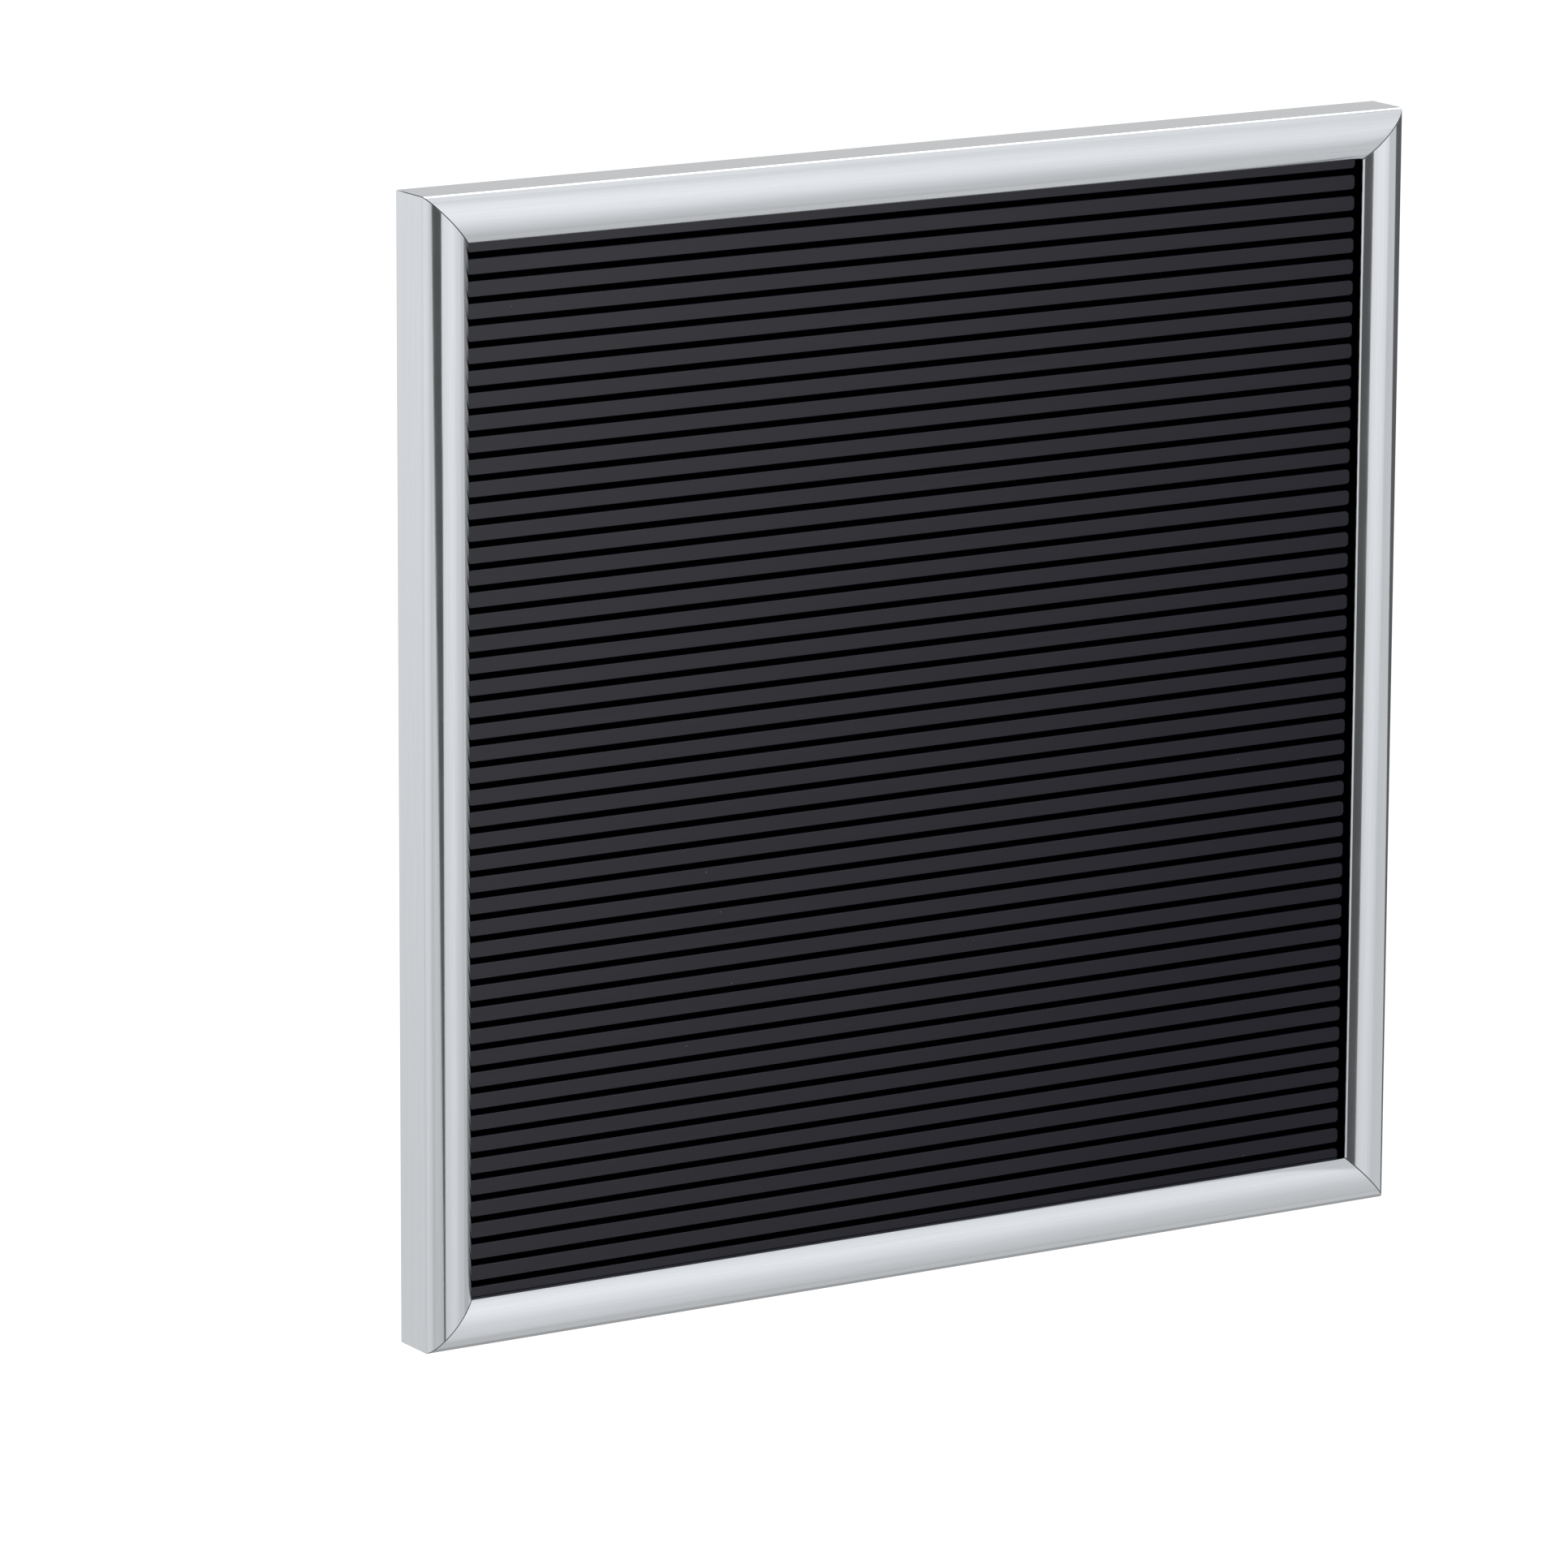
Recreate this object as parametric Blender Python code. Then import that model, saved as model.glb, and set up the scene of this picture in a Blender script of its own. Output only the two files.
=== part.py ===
# Grooved letter board in a mitred aluminium frame, made to hang on a wall.
# Metres, +Z up. The front faces -Y, the wall lies on the plane y = 0, and the origin is the middle of the
# hanger's rear face, so the board hangs from it as it does on a wall.
import math

import bmesh
import bpy
from mathutils import Vector

# Overall sizes of the frame
FRAME_WIDTH = 0.300
FRAME_HEIGHT = 0.300
FRAME_DEPTH = 0.017
WALL_GAP = 0.003

# Extruded rail: u runs from the outer side towards the opening, h from the back towards the front
RAIL_FACE = 0.0129
SIDE_FLAT = 0.0125
CROWN_CREST = 0.0063
SIGHT_EDGE_LEVEL = 0.0140
SIGHT_EDGE_RADIUS = 0.00035
RAIL_WALL = 0.0012
SIGHT_LIP = 0.0010
BACK_EDGE_RADIUS = 0.0004
CHANNEL_WIDTH = 0.0080
CHANNEL_FLOOR = 0.0040
CHANNEL_WEB = 0.0010
SLOT_LIP = 0.0016
SLOT_LIP_THICKNESS = 0.0010
MITRE_GAP = 0.0003

# Clearance between pieces that rest on each other
SEAT_GAP = 0.0003

# Grooved letter panel, with as many grooves as the opening takes
GROOVE_PITCH = 0.00569
GROOVE_WIDTH = 0.00155
GROOVE_DEPTH = 0.0018
RIB_END_MARGIN = 0.0010
RIB_END_RADIUS = 0.0011
RIB_EDGE_CHAMFER = 0.00025
PANEL_BASE = 0.0012
PANEL_SIDE_PLAY = 0.0013
PANEL_SHIFT = -0.0006

# Backing board behind the panel
BACKING_THICKNESS = 0.0020
BACKING_SIDE_PLAY = 0.0008
BACKING_CORNER_CUT = 0.0020

# Spring clips between the backing board and the rails
SPRING_LENGTH = 0.060
SPRING_WIDTH = 0.0110
SPRING_THICKNESS = 0.00035
SPRING_SIDE_PLAY = 0.0008
SPRING_SPACING = 0.140
SPRING_STEPS = 8

# Corner hardware in the rails' rear channels
CORNER_LEG = 0.040
CORNER_CUT = 0.0015
CORNER_PLATE_THICKNESS = 0.0015
CORNER_SHIM_THICKNESS = 0.0006
SCREW_RADIUS = 0.0020
SCREW_LENGTH = 0.0026
SCREW_SOCKET = 0.0010
SCREW_SOCKET_DEPTH = 0.0014
SCREW_FROM_CORNER = 0.026

# Sawtooth hanger, folded from sheet steel
HANGER_SHEET = 0.0008
HANGER_WIDTH = 0.036
HANGER_TOP = 0.0020
HANGER_HEIGHT = 0.0130
HANGER_REFERENCE = 0.0070
TOOTH_PITCH = 0.0030
TOOTH_DEPTH = 0.0018
TOOTH_COUNT = 10
HANGER_RISER_RUN = 0.0015
HANGER_FOOT_LENGTH = 0.0090

# Rubber bumpers on the lower rail
BUMPER_RADIUS = 0.0048
BUMPER_TAPER = 0.0006
BUMPER_FROM_SIDE = 0.060

# Fineness of the round stretches
CROWN_STEPS = 14
SMALL_ARC_STEPS = 3
RIB_END_STEPS = 3
HOLE_STEPS = 16
SCREW_STEPS = 20
BUMPER_STEPS = 28

# Sizes that follow from those above, with levels measured from the rails' back
WEB_FRONT = CHANNEL_FLOOR + CHANNEL_WEB
CHANNEL_WALL_END = RAIL_WALL + CHANNEL_WIDTH + RAIL_WALL
OPENING_WIDTH = FRAME_WIDTH - 2 * RAIL_FACE
OPENING_HEIGHT = FRAME_HEIGHT - 2 * RAIL_FACE
RIB_LENGTH = OPENING_WIDTH - 2 * RIB_END_MARGIN
GROOVE_COUNT = int(OPENING_HEIGHT / GROOVE_PITCH)
LIP_BACK = SIGHT_EDGE_LEVEL - RAIL_WALL
PANEL_FRONT = LIP_BACK - SEAT_GAP
PANEL_FLOOR = PANEL_FRONT - GROOVE_DEPTH
PANEL_BACK = PANEL_FLOOR - PANEL_BASE
BACKING_FRONT = PANEL_BACK - SEAT_GAP
BACKING_BACK = BACKING_FRONT - BACKING_THICKNESS
PLATE_BACK = SLOT_LIP_THICKNESS + SEAT_GAP
PLATE_FRONT = PLATE_BACK + CORNER_PLATE_THICKNESS
SHIM_BACK = PLATE_FRONT + SEAT_GAP
SLOT_OUTER = RAIL_WALL + SLOT_LIP
SLOT_INNER = RAIL_WALL + CHANNEL_WIDTH - SLOT_LIP
SLOT_MIDDLE = (SLOT_OUTER + SLOT_INNER) / 2

# The four corners as (name, turn about Y, side of X, side of Z), and the four rails as (name, turn)
CORNERS = [
    ("bottom_left", 0, -1, -1),
    ("top_left", 90, -1, 1),
    ("top_right", 180, 1, 1),
    ("bottom_right", -90, 1, -1),
]
RAIL_TURNS = {"bottom": 0, "left": 90, "top": 180, "right": -90}


def clear_scene():
    for old in list(bpy.data.objects):
        bpy.data.objects.remove(old, do_unlink=True)


def finish(name, colour, metallic, roughness):
    material = bpy.data.materials.new(name)
    material.use_nodes = True
    shader = material.node_tree.nodes["Principled BSDF"]
    shader.inputs["Base Color"].default_value = (*colour, 1.0)
    shader.inputs["Metallic"].default_value = metallic
    shader.inputs["Roughness"].default_value = roughness
    material.diffuse_color = (*colour, 1.0)
    return material


def make_finishes():
    return {
        "aluminium": finish("satin_anodised_aluminium", (0.76, 0.77, 0.78), 1.0, 0.30),
        "plastic": finish("black_moulded_plastic", (0.020, 0.020, 0.023), 0.0, 0.38),
        "hardboard": finish("brown_hardboard", (0.20, 0.115, 0.060), 0.0, 0.75),
        "zinc": finish("zinc_plated_steel", (0.60, 0.61, 0.62), 1.0, 0.34),
        "spring": finish("blued_spring_steel", (0.16, 0.17, 0.20), 1.0, 0.32),
        "rubber": finish("soft_grey_rubber", (0.055, 0.055, 0.058), 0.0, 0.70),
    }


def arc(centre, radii, start, end, steps):
    """Points along an elliptical arc, both ends included, with angles in degrees."""
    points = []
    for step in range(steps + 1):
        angle = math.radians(start + (end - start) * step / steps)
        points.append((centre[0] + radii[0] * math.cos(angle), centre[1] + radii[1] * math.sin(angle)))
    return points


def rounded_rectangle(centre, length, width, radius, steps):
    """A rectangle with round corners, length along X."""
    reach_x = length / 2 - radius
    reach_z = width / 2 - radius
    points = []
    for side_x, side_z, start in ((1, 1, 0), (-1, 1, 90), (-1, -1, 180), (1, -1, 270)):
        corner = (centre[0] + side_x * reach_x, centre[1] + side_z * reach_z)
        points += arc(corner, (radius, radius), start, start + 90, steps)
    return points


def circle(centre, radius, steps):
    return arc(centre, (radius, radius), 0, 360 * (steps - 1) / steps, steps - 1)


def sheet_outline(line, thickness):
    """Closed outline of a bent sheet around its centre line, with its full thickness on every stretch."""
    points = [Vector(point) for point in line]
    runs = [end - start for start, end in zip(points, points[1:])]
    normals = [Vector((-run.y, run.x)).normalized() for run in runs]
    near = []
    far = []
    for index, point in enumerate(points):
        before = normals[max(index - 1, 0)]
        after = normals[min(index, len(normals) - 1)]
        reach = (before + after) * thickness / 2 / (1 + before.dot(after))
        near.append(point - reach)
        far.append(point + reach)
    return near + far[::-1]


def loop(bm, points, level):
    """A closed ring of edges in the X-Z plane, at a level measured from the rails' back."""
    corners = [bm.verts.new((x, -level, z)) for x, z in points]
    return [bm.edges.new((corners[i - 1], corners[i])) for i in range(len(corners))]


def fill_between(bm, rings):
    """One flat sheet inside the first ring, with the other rings as holes in it."""
    edges = [edge for ring in rings for edge in ring]
    bmesh.ops.triangle_fill(bm, use_beauty=True, edges=edges, normal=(0, -1, 0))


def thicken(bm, depth):
    """Extrudes the whole sheet towards the front by a depth."""
    grown = bmesh.ops.extrude_face_region(bm, geom=list(bm.faces))
    moved = [item for item in grown["geom"] if isinstance(item, bmesh.types.BMVert)]
    bmesh.ops.translate(bm, verts=moved, vec=(0, -depth, 0))


def draw_out(bm, edges, depth):
    """Extrudes a ring of edges towards the front by a depth and returns the new ring."""
    grown = bmesh.ops.extrude_edge_only(bm, edges=edges)["geom"]
    moved = [item for item in grown if isinstance(item, bmesh.types.BMVert)]
    bmesh.ops.translate(bm, verts=moved, vec=(0, -depth, 0))
    ring = set(moved)
    return [item for item in grown if isinstance(item, bmesh.types.BMEdge) and ring.issuperset(item.verts)]


def mesh_from(bm, name, material, smooth_angle=None):
    bmesh.ops.recalc_face_normals(bm, faces=bm.faces)
    mesh = bpy.data.meshes.new(name)
    bm.to_mesh(mesh)
    bm.free()
    mesh.materials.append(material)
    if smooth_angle is not None:
        mesh.shade_smooth()
        mesh.set_sharp_from_angle(angle=math.radians(smooth_angle))
    return mesh


def place(name, mesh, parent, location=(0, 0, 0), turn=0):
    """A named object under the board's empty, turned about Y by degrees."""
    piece = bpy.data.objects.new(name, mesh)
    piece.location = location
    piece.rotation_euler = (0, math.radians(turn), 0)
    piece.parent = parent
    bpy.context.scene.collection.objects.link(piece)
    return piece


def crown_radius():
    """Radius of the crown from its crest down to the sight edge, tangent to the front plane at the crest."""
    run = RAIL_FACE - CROWN_CREST
    fall = FRAME_DEPTH - SIGHT_EDGE_LEVEL
    return (run * run + fall * fall) / (2 * fall)


def rail_section():
    """The extrusion's outline as (u, h): side, crown, sight lip, rebate, web and rear channel."""
    rise = FRAME_DEPTH - SIDE_FLAT
    radius = crown_radius()
    crest = (CROWN_CREST, SIDE_FLAT)
    inner = (CROWN_CREST, FRAME_DEPTH - radius)
    lip_back_u = RAIL_FACE - SIGHT_LIP
    slope_end = math.degrees(math.acos((RAIL_FACE - SIGHT_EDGE_RADIUS * 0.5 - CROWN_CREST) / radius))
    under_end = math.degrees(math.acos((lip_back_u - CROWN_CREST) / (radius - RAIL_WALL)))
    round_centre = (RAIL_FACE - SIGHT_EDGE_RADIUS, SIGHT_EDGE_LEVEL - SIGHT_EDGE_RADIUS)
    channel_end = RAIL_WALL + CHANNEL_WIDTH

    outline = arc((BACK_EDGE_RADIUS, BACK_EDGE_RADIUS), (BACK_EDGE_RADIUS, BACK_EDGE_RADIUS), 270, 180,
                  SMALL_ARC_STEPS)
    outline += arc(crest, (CROWN_CREST, rise), 180, 90, CROWN_STEPS)
    outline += arc(inner, (radius, radius), 90, slope_end, CROWN_STEPS)[1:]
    outline += arc(round_centre, (SIGHT_EDGE_RADIUS, SIGHT_EDGE_RADIUS), slope_end, 0, SMALL_ARC_STEPS)[1:]
    outline += [(RAIL_FACE, LIP_BACK), (lip_back_u, LIP_BACK)]
    outline += arc(inner, (radius - RAIL_WALL, radius - RAIL_WALL), under_end, 90, CROWN_STEPS // 2)
    outline += arc(crest, (CROWN_CREST - RAIL_WALL, rise - RAIL_WALL), 90, 180, CROWN_STEPS // 2)[1:]
    outline += [(RAIL_WALL, WEB_FRONT), (CHANNEL_WALL_END, WEB_FRONT)]
    outline += arc((CHANNEL_WALL_END - BACK_EDGE_RADIUS, BACK_EDGE_RADIUS),
                   (BACK_EDGE_RADIUS, BACK_EDGE_RADIUS), 0, -90, SMALL_ARC_STEPS)
    outline += [(SLOT_INNER, 0), (SLOT_INNER, SLOT_LIP_THICKNESS), (channel_end, SLOT_LIP_THICKNESS)]
    outline += [(channel_end, CHANNEL_FLOOR), (RAIL_WALL, CHANNEL_FLOOR)]
    outline += [(RAIL_WALL, SLOT_LIP_THICKNESS), (SLOT_OUTER, SLOT_LIP_THICKNESS), (SLOT_OUTER, 0)]
    return outline


def rail_mesh(name, length, material):
    """The section drawn along X, with both ends cut at 45 degrees for the mitre joints."""
    bm = bmesh.new()
    section = [bm.verts.new((0, -h, u)) for u, h in rail_section()]
    bmesh.ops.extrude_face_region(bm, geom=[bm.faces.new(section)])
    bm.verts.ensure_lookup_table()
    half = length / 2 - MITRE_GAP / math.sqrt(2)
    for index, corner in enumerate(bm.verts):
        side = -1 if index < len(section) else 1
        corner.co.x = side * (half - corner.co.z)
    return mesh_from(bm, name, material, smooth_angle=25)


def add_rails(parent, material):
    horizontal = rail_mesh("horizontal_rail", FRAME_WIDTH, material)
    vertical = rail_mesh("vertical_rail", FRAME_HEIGHT, material)
    middle = {
        "bottom": (0, 0, -FRAME_HEIGHT / 2),
        "top": (0, 0, FRAME_HEIGHT / 2),
        "left": (-FRAME_WIDTH / 2, 0, 0),
        "right": (FRAME_WIDTH / 2, 0, 0),
    }
    for side, turn in RAIL_TURNS.items():
        mesh = horizontal if side in ("bottom", "top") else vertical
        place(side + "_rail", mesh, parent, middle[side], turn)


def rib_outlines():
    """Footprints of the ribs, one more than there are grooves, from the lowest to the highest."""
    rib_width = GROOVE_PITCH - GROOVE_WIDTH
    outlines = []
    for row in range(GROOVE_COUNT + 1):
        height = (row - GROOVE_COUNT / 2) * GROOVE_PITCH
        outlines.append(rounded_rectangle((0, height), RIB_LENGTH, rib_width, RIB_END_RADIUS, RIB_END_STEPS))
    return outlines


def add_letter_panel(parent, material):
    """One moulded plate: a flat base with long ribs, the grooves between them open to a border all round."""
    width = FRAME_WIDTH - 2 * (RAIL_WALL + PANEL_SIDE_PLAY)
    height = FRAME_HEIGHT - 2 * (RAIL_WALL + PANEL_SIDE_PLAY)
    signs = ((-1, -1), (1, -1), (1, 1), (-1, 1))
    border = [(side_x * width / 2, side_z * height / 2) for side_x, side_z in signs]
    bm = bmesh.new()
    edge = loop(bm, border, PANEL_FLOOR)
    rings = [loop(bm, outline, PANEL_FLOOR) for outline in rib_outlines()]
    fill_between(bm, [edge] + rings)
    back = draw_out(bm, edge, -PANEL_BASE)
    bmesh.ops.contextual_create(bm, geom=back)
    for ring in rings:
        top = draw_out(bm, ring, GROOVE_DEPTH)
        bmesh.ops.contextual_create(bm, geom=top)
        bmesh.ops.bevel(bm, geom=top, offset=RIB_EDGE_CHAMFER, segments=1, profile=0.5, affect="EDGES")
    place("letter_panel", mesh_from(bm, "letter_panel", material), parent, (PANEL_SHIFT, 0, 0))


def add_backing_board(parent, material):
    """Thin board behind the panel, with its corners cut so that it drops past the corner hardware."""
    reach_x = FRAME_WIDTH / 2 - RAIL_WALL - BACKING_SIDE_PLAY
    reach_z = FRAME_HEIGHT / 2 - RAIL_WALL - BACKING_SIDE_PLAY
    outline = []
    for side_x, side_z in ((1, 1), (-1, 1), (-1, -1), (1, -1)):
        cut_x = (side_x * (reach_x - BACKING_CORNER_CUT), side_z * reach_z)
        cut_z = (side_x * reach_x, side_z * (reach_z - BACKING_CORNER_CUT))
        outline += [cut_z, cut_x] if side_x * side_z > 0 else [cut_x, cut_z]
    bm = bmesh.new()
    fill_between(bm, [loop(bm, outline, BACKING_BACK)])
    thicken(bm, BACKING_THICKNESS)
    place("backing_board", mesh_from(bm, "backing_board", material), parent)


def spring_mesh(material):
    """A bowed steel strip: its ends rest on the rail's web and its crest presses the board."""
    end_level = WEB_FRONT + SEAT_GAP + SPRING_THICKNESS / 2
    bow = BACKING_BACK - SEAT_GAP - SPRING_THICKNESS / 2 - end_level
    line = []
    for step in range(SPRING_STEPS + 1):
        share = 2 * step / SPRING_STEPS - 1
        line.append((share * SPRING_LENGTH / 2, end_level + bow * (1 - share * share)))
    bm = bmesh.new()
    outer = RAIL_WALL + SPRING_SIDE_PLAY
    side = [bm.verts.new((x, -level, outer)) for x, level in sheet_outline(line, SPRING_THICKNESS)]
    grown = bmesh.ops.extrude_face_region(bm, geom=[bm.faces.new(side)])
    moved = [item for item in grown["geom"] if isinstance(item, bmesh.types.BMVert)]
    bmesh.ops.translate(bm, verts=moved, vec=(0, 0, SPRING_WIDTH))
    return mesh_from(bm, "spring_clip", material, smooth_angle=25)


def add_springs(parent, material):
    mesh = spring_mesh(material)
    for side, turn in RAIL_TURNS.items():
        angle = math.radians(turn)
        along = Vector((math.cos(angle), 0, -math.sin(angle)))
        inward = Vector((math.sin(angle), 0, math.cos(angle)))
        half = (FRAME_HEIGHT if side in ("bottom", "top") else FRAME_WIDTH) / 2
        for number, shift in enumerate((-SPRING_SPACING / 2, SPRING_SPACING / 2), start=1):
            place(f"spring_clip_{side}_{number}", mesh, parent, along * shift - inward * half, turn)


def corner_outline(clearance):
    """The L shape of the corner plates, from the frame's outer corner, with its outer corner cut off."""
    near = RAIL_WALL + clearance
    far = RAIL_WALL + CHANNEL_WIDTH - clearance
    return [(near + CORNER_CUT, near), (CORNER_LEG, near), (CORNER_LEG, far), (far, far), (far, CORNER_LEG),
            (near, CORNER_LEG), (near, near + CORNER_CUT)]


def corner_plate_mesh(material):
    """Angle plate of the mitre joint, with a screw hole in each leg."""
    centre_line = RAIL_WALL + CHANNEL_WIDTH / 2
    hole = SCREW_RADIUS + SEAT_GAP
    bm = bmesh.new()
    rings = [loop(bm, corner_outline(SEAT_GAP), PLATE_BACK)]
    rings.append(loop(bm, circle((SCREW_FROM_CORNER, centre_line), hole, HOLE_STEPS), PLATE_BACK))
    rings.append(loop(bm, circle((centre_line, SCREW_FROM_CORNER), hole, HOLE_STEPS), PLATE_BACK))
    fill_between(bm, rings)
    thicken(bm, CORNER_PLATE_THICKNESS)
    return mesh_from(bm, "corner_plate", material, smooth_angle=35)


def corner_shim_mesh(material):
    """Thin plate that takes the screws' points, between the angle plate and the rail's web."""
    bm = bmesh.new()
    fill_between(bm, [loop(bm, corner_outline(SEAT_GAP), SHIM_BACK)])
    thicken(bm, CORNER_SHIM_THICKNESS)
    return mesh_from(bm, "corner_shim", material)


def screw_mesh(material):
    """Set screw with a hexagon socket in its rear end and a chamfered point."""
    head = PLATE_FRONT - SCREW_LENGTH
    bm = bmesh.new()
    rim = loop(bm, circle((0, 0), SCREW_RADIUS, SCREW_STEPS), head)
    socket = loop(bm, circle((0, 0), SCREW_SOCKET, 6), head)
    fill_between(bm, [rim, socket])
    bmesh.ops.contextual_create(bm, geom=draw_out(bm, socket, SCREW_SOCKET_DEPTH))
    point = draw_out(bm, rim, SCREW_LENGTH)
    bmesh.ops.contextual_create(bm, geom=point)
    bmesh.ops.bevel(bm, geom=point, offset=SCREW_RADIUS / 5, segments=1, profile=0.5, affect="EDGES")
    return mesh_from(bm, "corner_screw", material, smooth_angle=35)


def add_corners(parent, finishes):
    plate = corner_plate_mesh(finishes["zinc"])
    shim = corner_shim_mesh(finishes["zinc"])
    screw = screw_mesh(finishes["spring"])
    centre_line = RAIL_WALL + CHANNEL_WIDTH / 2
    for name, turn, side_x, side_z in CORNERS:
        corner = Vector((side_x * FRAME_WIDTH / 2, 0, side_z * FRAME_HEIGHT / 2))
        place("corner_plate_" + name, plate, parent, corner, turn)
        place("corner_shim_" + name, shim, parent, corner, turn)
        along_x = Vector((-side_x * SCREW_FROM_CORNER, 0, -side_z * centre_line))
        along_z = Vector((-side_x * centre_line, 0, -side_z * SCREW_FROM_CORNER))
        place(f"corner_screw_{name}_1", screw, parent, corner + along_x)
        place(f"corner_screw_{name}_2", screw, parent, corner + along_z)


def hanger_blank():
    """The hanger seen from the front: a toothed strip with a neck and a wider foot at each end."""
    half = HANGER_WIDTH / 2
    bottom = HANGER_TOP + HANGER_HEIGHT
    foot_start = half + HANGER_RISER_RUN + HANGER_SHEET
    foot_end = foot_start + HANGER_FOOT_LENGTH
    neck = (SLOT_OUTER + SEAT_GAP, SLOT_INNER - SEAT_GAP)
    foot = (RAIL_WALL + SEAT_GAP, RAIL_WALL + CHANNEL_WIDTH - SEAT_GAP)
    right_side = [(half, bottom), (half, neck[1]), (foot_start, neck[1])]
    right_side += [(foot_start, foot[1]), (foot_end, foot[1]), (foot_end, foot[0]), (foot_start, foot[0])]
    right_side += [(foot_start, neck[0]), (half, neck[0]), (half, HANGER_TOP)]
    left_side = [(-x, down) for x, down in reversed(right_side)]
    teeth = []
    for tooth in range(TOOTH_COUNT):
        start = (tooth - TOOTH_COUNT / 2) * TOOTH_PITCH
        teeth += [(start, bottom), (start + TOOTH_PITCH / 2, bottom - TOOTH_DEPTH)]
    teeth.append((TOOTH_COUNT / 2 * TOOTH_PITCH, bottom))
    return [(x, -down) for x, down in right_side + left_side + teeth]


def hanger_fold():
    """The folded strip seen from above: it stands off behind the frame, and its ends lie in the channel."""
    half = HANGER_WIDTH / 2
    strip_level = -WALL_GAP + HANGER_SHEET / 2
    foot_level = SLOT_LIP_THICKNESS + SEAT_GAP + HANGER_SHEET / 2
    riser_end = half + HANGER_RISER_RUN
    reach = riser_end + HANGER_SHEET + HANGER_FOOT_LENGTH
    line = [(-reach, foot_level), (-riser_end, foot_level), (-half, strip_level)]
    line += [(-x, level) for x, level in reversed(line)]
    return sheet_outline(line, HANGER_SHEET)


def add_hanger(parent, material):
    """The folded strip, cut to its blank's outline, with its feet behind the lips of the rail's channel."""
    side = [(x, -level) for x, level in hanger_fold()]
    bm = bmesh.new()
    bm.faces.new([bm.verts.new((x, y, -HANGER_TOP - HANGER_HEIGHT - SEAT_GAP)) for x, y in side])
    grown = bmesh.ops.extrude_face_region(bm, geom=list(bm.faces))
    moved = [item for item in grown["geom"] if isinstance(item, bmesh.types.BMVert)]
    bmesh.ops.translate(bm, verts=moved, vec=(0, 0, HANGER_HEIGHT + HANGER_TOP + SEAT_GAP))
    top = (0, 0, FRAME_HEIGHT / 2)
    hanger = place("sawtooth_hanger", mesh_from(bm, "sawtooth_hanger", material), parent, top)
    bm = bmesh.new()
    fill_between(bm, [loop(bm, hanger_blank(), -2 * WALL_GAP)])
    thicken(bm, 2 * WALL_GAP + CHANNEL_FLOOR)
    blank = place("hanger_blank_guide", mesh_from(bm, "hanger_blank_guide", material), parent, top)
    blank.hide_render = True
    blank.display_type = "WIRE"
    cut = hanger.modifiers.new("blank", "BOOLEAN")
    cut.operation = "INTERSECT"
    cut.object = blank


def bumper_mesh(material):
    """Self-adhesive bumper: a low round pad whose wall side is a little smaller and rounded over."""
    bm = bmesh.new()
    height = WALL_GAP - SEAT_GAP
    foot = loop(bm, circle((0, 0), BUMPER_RADIUS, BUMPER_STEPS), -SEAT_GAP)
    fill_between(bm, [foot])
    crown = draw_out(bm, foot, -height)
    centre = Vector((0, WALL_GAP, 0))
    share = 1 - BUMPER_TAPER / BUMPER_RADIUS
    for corner in {corner for edge in crown for corner in edge.verts}:
        corner.co = centre + (corner.co - centre) * share
    bmesh.ops.contextual_create(bm, geom=crown)
    bmesh.ops.bevel(bm, geom=crown, offset=BUMPER_TAPER, segments=3, profile=0.5, affect="EDGES")
    return mesh_from(bm, "wall_bumper", material, smooth_angle=40)


def add_bumpers(parent, material):
    """A bumper near each end of the lower rail, across the two lips of its channel."""
    mesh = bumper_mesh(material)
    for name, side in (("left", -1), ("right", 1)):
        x = side * (FRAME_WIDTH / 2 - BUMPER_FROM_SIDE)
        place("wall_bumper_" + name, mesh, parent, (x, 0, -FRAME_HEIGHT / 2 + SLOT_MIDDLE))


def build():
    clear_scene()
    finishes = make_finishes()
    board = bpy.data.objects.new("letter_board", None)
    board.location = (0, -WALL_GAP, HANGER_REFERENCE - FRAME_HEIGHT / 2)
    bpy.context.scene.collection.objects.link(board)
    add_rails(board, finishes["aluminium"])
    add_letter_panel(board, finishes["plastic"])
    add_backing_board(board, finishes["hardboard"])
    add_springs(board, finishes["spring"])
    add_corners(board, finishes)
    add_hanger(board, finishes["zinc"])
    add_bumpers(board, finishes["rubber"])


build()
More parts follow.
